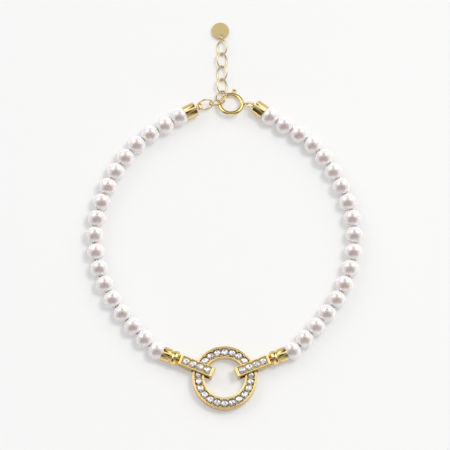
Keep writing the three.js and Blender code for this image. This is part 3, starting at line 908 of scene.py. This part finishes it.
def slotted_tube():
    """The tube with its outer side let in as a slot, along which the stem of the knob runs."""
    stations = tube_stations()
    vertices, faces = arc_sweep(stations, TUBE_SIDES)
    side_step = SLOT_WIDTH / (len(SLOT_SIDES) - 1)
    for i, (degrees, _) in enumerate(stations):
        if SLOT_START < degrees < SLOT_END:
            floor = clasp_outward(degrees) * (CLASP_RADIUS + SLOT_FLOOR)
            for j in SLOT_SIDES:
                vertices[i * TUBE_SIDES + j % TUBE_SIDES] = tuple(floor + UP * side_step * j)
    return vertices, faces


def bolt_stations():
    """The bolt from its flat tail to its tapered nose."""
    straight = BOLT_TAIL + BOLT_TAIL_EDGE
    taper = BOLT_NOSE - BOLT_NOSE_TAPER
    return [
        (BOLT_TAIL, BOLT_RADIUS * BOLT_TAIL_SHARE),
        *straight_stations(straight, taper - BOLT_NOSE_EDGE, BOLT_RADIUS),
        (taper, BOLT_RADIUS),
        (BOLT_NOSE - BOLT_NOSE_EDGE, BOLT_RADIUS * BOLT_TAPER_SHARE),
        (BOLT_NOSE, BOLT_RADIUS * BOLT_NOSE_SHARE),
    ]


joint = next(j for j in frame["joints"] if j["name"] == "trigger_slide")
clasp_normal = -Vector(joint["axis"])
clasp_place = facing(clasp_normal, Vector(joint["pos_m"]), side=Vector((1, 0, 0)))
eye_radius = (SMALL_EYE_DIAMETER - SMALL_EYE_WIRE) / 2
eye_reach = CLASP_RADIUS + CLASP_TUBE_RADIUS + eye_radius - SMALL_EYE_WIRE / 4
eye_place = Matrix.Translation((eye_reach, 0, 0)) @ Matrix.Rotation(math.pi / 2, 4, "X")
clasp_eye = moved(oval_wire(SMALL_EYE_DIAMETER, SMALL_EYE_DIAMETER, SMALL_EYE_WIRE), eye_place)
clasp_mesh = merged([slotted_tube(), clasp_eye])
clasp = new_piece("clasp_tube", moved(clasp_mesh, clasp_place), GOLD, "bracelet")
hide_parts("clasp_body")

knob_turn = Matrix.Rotation(math.radians(KNOB_ANGLE), 4, "Z")
stem = capped_mesh([(STEM_RADIUS, CLASP_RADIUS), (STEM_RADIUS, KNOB_REACH)], STEM_SIDES)
stem_place = knob_turn @ Matrix.Rotation(math.pi / 2, 4, "Y")
half_knob = KNOB_LENGTH / 2
thumb_outline = [
    (KNOB_RADIUS * KNOB_MIDDLE, -half_knob),
    (KNOB_RADIUS * KNOB_END_SHARE, -half_knob),
    (KNOB_RADIUS, -half_knob * KNOB_STRAIGHT_SHARE),
    (KNOB_RADIUS, half_knob * KNOB_STRAIGHT_SHARE),
    (KNOB_RADIUS * KNOB_END_SHARE, half_knob),
    (KNOB_RADIUS * KNOB_MIDDLE, half_knob),
]
thumb = capped_mesh(softened(thumb_outline, KNOB_EDGE, sharp=(0, 5)), KNOB_SIDES)
flattened = Matrix.Diagonal((1, 1, KNOB_FLATNESS, 1)) @ Matrix.Rotation(math.pi / 2, 4, "X")
thumb_place = knob_turn @ Matrix.Translation((KNOB_REACH, 0, 0)) @ flattened
bolt = arc_sweep(bolt_stations(), BOLT_SIDES)
trigger_mesh = merged([bolt, moved(stem, stem_place), moved(thumb, thumb_place)])
trigger_mesh = moved(trigger_mesh, clasp_place)
trigger = new_piece("clasp_bolt", trigger_mesh, GOLD, "trigger")
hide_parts("clasp_trigger")

# Chain: oval links of round gold wire, each through the next, at the clasp and back from it as
# the extender. A small link joins the clasp's eye to the right cap, and a thin ring ties the
# disc to the last link.

LINK_LENGTH = 0.00383
LINK_WIDTH = 0.0028
LINK_WIRE = 0.00038
CLASP_LINK_LENGTH = 0.00245
CLASP_LINK_WIDTH = 0.0014
CLASP_LINK_WIRE = 0.00048
CHAIN_LINKS = 7
LINK_STEPS = 56
SAME_POINT_DIGITS = 9
CHAIN_GOLD = polished_gold(
    "chain_gold",
    roughness=0.1,
    light=(0.88, 0.74, 0.46),
    deep=(0.78, 0.62, 0.33),
    edge=(0.50, 0.34, 0.12),
)


def flat_place(node):
    """Where a flat oval node lies: X along its long axis, Z square to it, at its middle."""
    data = frame["nodes"][node].data
    points = np.empty(len(data.vertices) * 3)
    data.vertices.foreach_get("co", points)
    points = np.unique(points.reshape(-1, 3).round(SAME_POINT_DIGITS), axis=0)
    centre = (points.min(axis=0) + points.max(axis=0)) / 2
    axes = np.linalg.svd(points - points.mean(axis=0), full_matrices=False)[2]
    long_axis = Vector(axes[0])
    normal = Vector(axes[2])
    across = normal.cross(long_axis)
    matrix = Matrix((long_axis, across, normal)).transposed().to_4x4()
    matrix.translation = Vector(centre)
    return matrix


def add_link(node, length, width, wire):
    mesh = moved(oval_wire(length, width, wire, steps=LINK_STEPS), flat_place(node))
    link = new_piece(f"{node}_wire", mesh, CHAIN_GOLD, "bracelet")
    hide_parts(node)


for number in range(1, CHAIN_LINKS + 1):
    add_link(f"chain_link_{number}", LINK_LENGTH, LINK_WIDTH, LINK_WIRE)
add_link("clasp_link", CLASP_LINK_LENGTH, CLASP_LINK_WIDTH, CLASP_LINK_WIRE)
TAG_RING_DIAMETER = 0.0017
TAG_RING_WIRE = 0.0003
add_link("tag_ring", TAG_RING_DIAMETER, TAG_RING_DIAMETER, TAG_RING_WIRE)

# Disc tag: a plain round plate of satin-brushed pale gold with a small hole near its edge for
# the ring that ties it to the chain. It leans on that ring.

DISC_RADIUS = 0.002
DISC_THICKNESS = 0.0004
DISC_EDGE = 0.0001
DISC_HOLE_RADIUS = 0.00035
DISC_HOLE_INSET = 0.00065
DISC_STEPS = 96
DISC_CORNER_SHARE = 0.3
FLAT_FACE = 0.99
BRUSH_ANGLE = 0.6
BRUSH_SCALE = (2200, 26000, 2200)


def satin_gold():
    """Pale gold with fine straight brush lines in its tone, gloss and relief."""
    material, nodes, links = new_material("satin_gold")
    shader = nodes["Principled BSDF"]
    shader.inputs["Metallic"].default_value = 1.0
    place = nodes.new("ShaderNodeTexCoord")
    stretch = nodes.new("ShaderNodeMapping")
    stretch.inputs["Rotation"].default_value = (0, 0, BRUSH_ANGLE)
    stretch.inputs["Scale"].default_value = BRUSH_SCALE
    brush = nodes.new("ShaderNodeTexNoise")
    brush.inputs["Scale"].default_value = 1.0
    brush.inputs["Detail"].default_value = 5.0
    links.new(place.outputs["Object"], stretch.inputs["Vector"])
    links.new(stretch.outputs["Vector"], brush.inputs["Vector"])
    tone = nodes.new("ShaderNodeValToRGB")
    tone.color_ramp.elements[0].position = 0.3
    tone.color_ramp.elements[0].color = (0.58, 0.45, 0.20, 1)
    tone.color_ramp.elements[1].position = 0.7
    tone.color_ramp.elements[1].color = (0.74, 0.60, 0.33, 1)
    links.new(brush.outputs["Fac"], tone.inputs["Fac"])
    links.new(tone.outputs["Color"], shader.inputs["Base Color"])
    gloss = nodes.new("ShaderNodeMapRange")
    gloss.inputs["To Min"].default_value = 0.32
    gloss.inputs["To Max"].default_value = 0.5
    links.new(brush.outputs["Fac"], gloss.inputs["Value"])
    links.new(gloss.outputs["Result"], shader.inputs["Roughness"])
    relief = nodes.new("ShaderNodeBump")
    relief.inputs["Strength"].default_value = 0.12
    relief.inputs["Distance"].default_value = 0.00002
    links.new(brush.outputs["Fac"], relief.inputs["Height"])
    links.new(relief.outputs["Normal"], shader.inputs["Normal"])
    return material


def disc_mesh(hole_x, hole_y):
    """A plate about Z with one round hole, its outline and hole joined by rays from the hole."""
    half = DISC_THICKNESS / 2
    corner = DISC_EDGE * DISC_CORNER_SHARE
    rings = [
        (None, half),
        (DISC_RADIUS - DISC_EDGE, half),
        (DISC_RADIUS - corner, half - corner),
        (DISC_RADIUS, half - DISC_EDGE),
        (DISC_RADIUS, DISC_EDGE - half),
        (DISC_RADIUS - corner, corner - half),
        (DISC_RADIUS - DISC_EDGE, -half),
        (None, -half),
    ]
    vertices = []
    hole = Vector((hole_x, hole_y))
    for radius, height in rings:
        for i in range(DISC_STEPS):
            angle = 2 * math.pi * i / DISC_STEPS
            ray = Vector((math.cos(angle), math.sin(angle)))
            if radius is None:
                point = hole + ray * DISC_HOLE_RADIUS
            else:
                along = hole.dot(ray)
                to_edge = math.sqrt(along ** 2 + radius ** 2 - hole.length_squared) - along
                point = hole + ray * to_edge
            vertices.append((point.x, point.y, height))
    faces = []
    for row in range(len(rings)):
        this = row * DISC_STEPS
        after = (row + 1) % len(rings) * DISC_STEPS
        for i in range(DISC_STEPS):
            j = (i + 1) % DISC_STEPS
            faces.append((this + j, this + i, after + i, after + j))
    return vertices, faces


disc_place = flat_place("disc_tag")
disc_place.translation = middle("disc_tag")
toward_ring = disc_place.inverted() @ middle("tag_ring")
toward_ring.z = 0
hole_at = toward_ring.normalized() * (DISC_RADIUS - DISC_HOLE_INSET)
plate = moved(disc_mesh(hole_at.x, hole_at.y), disc_place)
disc = new_piece("disc_tag_plate", plate, satin_gold(), "bracelet")
disc_face = disc_place.col[2].xyz
for polygon in disc.data.polygons:
    polygon.use_smooth = abs(polygon.normal.dot(disc_face)) < FLAT_FACE
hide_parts("disc_tag")

# Floor: a plain pale light table. It glows a little from below, which keeps the shadows faint.

FLOOR_HALF = 1.2
FLOOR_DROP = 0.00003
FLOOR_GLOW = 0.366


def floor_paint():
    material, nodes, _ = new_material("floor_paint")
    shader = nodes["Principled BSDF"]
    shader.inputs["Base Color"].default_value = (0.47, 0.47, 0.46, 1)
    shader.inputs["Roughness"].default_value = 0.9
    shader.inputs["Specular IOR Level"].default_value = 0.0
    shader.inputs["Emission Color"].default_value = (0.98, 0.98, 1.0, 1)
    shader.inputs["Emission Strength"].default_value = FLOOR_GLOW
    return material


floor_data = bpy.data.meshes.new("floor")
floor_corners = [
    (-FLOOR_HALF, -FLOOR_HALF, 0),
    (FLOOR_HALF, -FLOOR_HALF, 0),
    (FLOOR_HALF, FLOOR_HALF, 0),
    (-FLOOR_HALF, FLOOR_HALF, 0),
]
floor_data.from_pydata(floor_corners, [], [(0, 1, 2, 3)])
floor_data.materials.append(floor_paint())
floor = bpy.data.objects.new("floor", floor_data)
floor.location.z = -FLOOR_DROP
bpy.context.scene.collection.objects.link(floor)

# Light: a pale grey room that the gold and the pearls mirror, with a large soft box behind on
# each side, small pale ones overhead and low at the front, and dark cloths between, which give
# the gold its streaks and the pearls part of their dark middles; the rest of those is painted
# reflection in the pearls' colour. A soft lamp on the right casts shadows.

ROOM_COLOUR = (0.50, 0.50, 0.52)
LAMP_DISTANCE = 1.5
LAMP_SIZE = 0.5
LAMP_POWER = 11.0


def direction(azimuth, elevation):
    """Azimuth 0 is +Y and 90 is +X, elevation above the tabletop, in degrees."""
    turn = math.radians(azimuth)
    rise = math.radians(elevation)
    flat = math.cos(rise)
    return Vector((math.sin(turn) * flat, math.cos(turn) * flat, math.sin(rise)))


def room_light():
    """The room: each patch has its direction, its full and its outer reach, and its colour."""
    world = bpy.data.worlds.new("room")
    world.use_nodes = True
    bpy.context.scene.world = world
    nodes, links = world.node_tree.nodes, world.node_tree.links
    place = nodes.new("ShaderNodeTexCoord")
    below = None
    patches = [
        (direction(-48, 42), 20, 34, (1.5, 1.5, 1.5)),
        (direction(48, 42), 20, 34, (1.4, 1.4, 1.4)),
        (direction(-44, 44), 10, 18, (3.0, 3.0, 3.0)),
        (direction(44, 44), 10, 18, (2.7, 2.7, 2.7)),
        (direction(180, 10), 10, 24, (1.2, 1.18, 1.15)),
        (direction(0, 75), 7, 14, (1.15, 1.15, 1.15)),
        (direction(0, 50), 8, 16, (0.10, 0.08, 0.07)),
        (direction(0, 30), 8, 16, (0.10, 0.08, 0.07)),
        (direction(230, 40), 11, 20, (0.10, 0.08, 0.07)),
        (direction(130, 40), 11, 20, (0.10, 0.08, 0.07)),
        (direction(230, 14), 9, 18, (0.05, 0.04, 0.03)),
        (direction(130, 14), 9, 18, (0.05, 0.04, 0.03)),
        (direction(180, 70), 15, 27, (0.34, 0.30, 0.29)),
        (direction(180, 84), 8, 14, (0.01, 0.01, 0.01)),
    ]
    for towards, core, edge, patch_colour in patches:
        dot = nodes.new("ShaderNodeVectorMath")
        dot.operation = "DOT_PRODUCT"
        dot.inputs[1].default_value = towards
        links.new(place.outputs["Generated"], dot.inputs[0])
        fade = nodes.new("ShaderNodeMapRange")
        fade.interpolation_type = "SMOOTHSTEP"
        fade.inputs["From Min"].default_value = math.cos(math.radians(edge))
        fade.inputs["From Max"].default_value = math.cos(math.radians(core))
        links.new(dot.outputs["Value"], fade.inputs["Value"])
        mix = nodes.new("ShaderNodeMix")
        mix.data_type = "RGBA"
        mix.inputs["B"].default_value = (*patch_colour, 1)
        links.new(fade.outputs["Result"], mix.inputs["Factor"])
        if below is None:
            mix.inputs["A"].default_value = (*ROOM_COLOUR, 1)
        else:
            links.new(below.outputs["Result"], mix.inputs["A"])
        below = mix
    links.new(below.outputs["Result"], nodes["Background"].inputs["Color"])


room_light()
lamp_data = bpy.data.lights.new("key_lamp", "AREA")
lamp_data.shape = "DISK"
lamp_data.size = LAMP_SIZE
lamp_data.energy = LAMP_POWER
lamp = bpy.data.objects.new("key_lamp", lamp_data)
lamp_side = direction(66, 66)
lamp.location = lamp_side * LAMP_DISTANCE
lamp.rotation_mode = "QUATERNION"
lamp.rotation_quaternion = lamp_side.to_track_quat("Z", "Y")
lamp.visible_glossy = False
bpy.context.scene.collection.objects.link(lamp)

# Camera: nearly straight above, leaning back a little from the front, as the photo was taken.

PIXEL = 0.000225
PICTURE_WIDTH = 450
CAMERA_ELEVATION = 76
CAMERA_LENS = 800
SENSOR_WIDTH = 36
NEAREST_SEEN = 0.01
FARTHEST_SEEN = 10
LOOK_AT = Vector((0.00008, -0.00248, 0.00192))
camera_data = bpy.data.cameras.new("camera")
camera_data.lens = CAMERA_LENS
camera_data.sensor_width = SENSOR_WIDTH
camera = bpy.data.objects.new("camera", camera_data)
camera_back = direction(180, CAMERA_ELEVATION)
camera_distance = PIXEL * PICTURE_WIDTH * CAMERA_LENS / SENSOR_WIDTH
camera.location = LOOK_AT + camera_back * camera_distance
camera.rotation_mode = "QUATERNION"
camera.rotation_quaternion = camera_back.to_track_quat("Z", "Y")
camera_data.clip_start = NEAREST_SEEN
camera_data.clip_end = FARTHEST_SEEN
bpy.context.scene.collection.objects.link(camera)
bpy.context.scene.camera = camera
bpy.context.scene.view_settings.view_transform = "Standard"
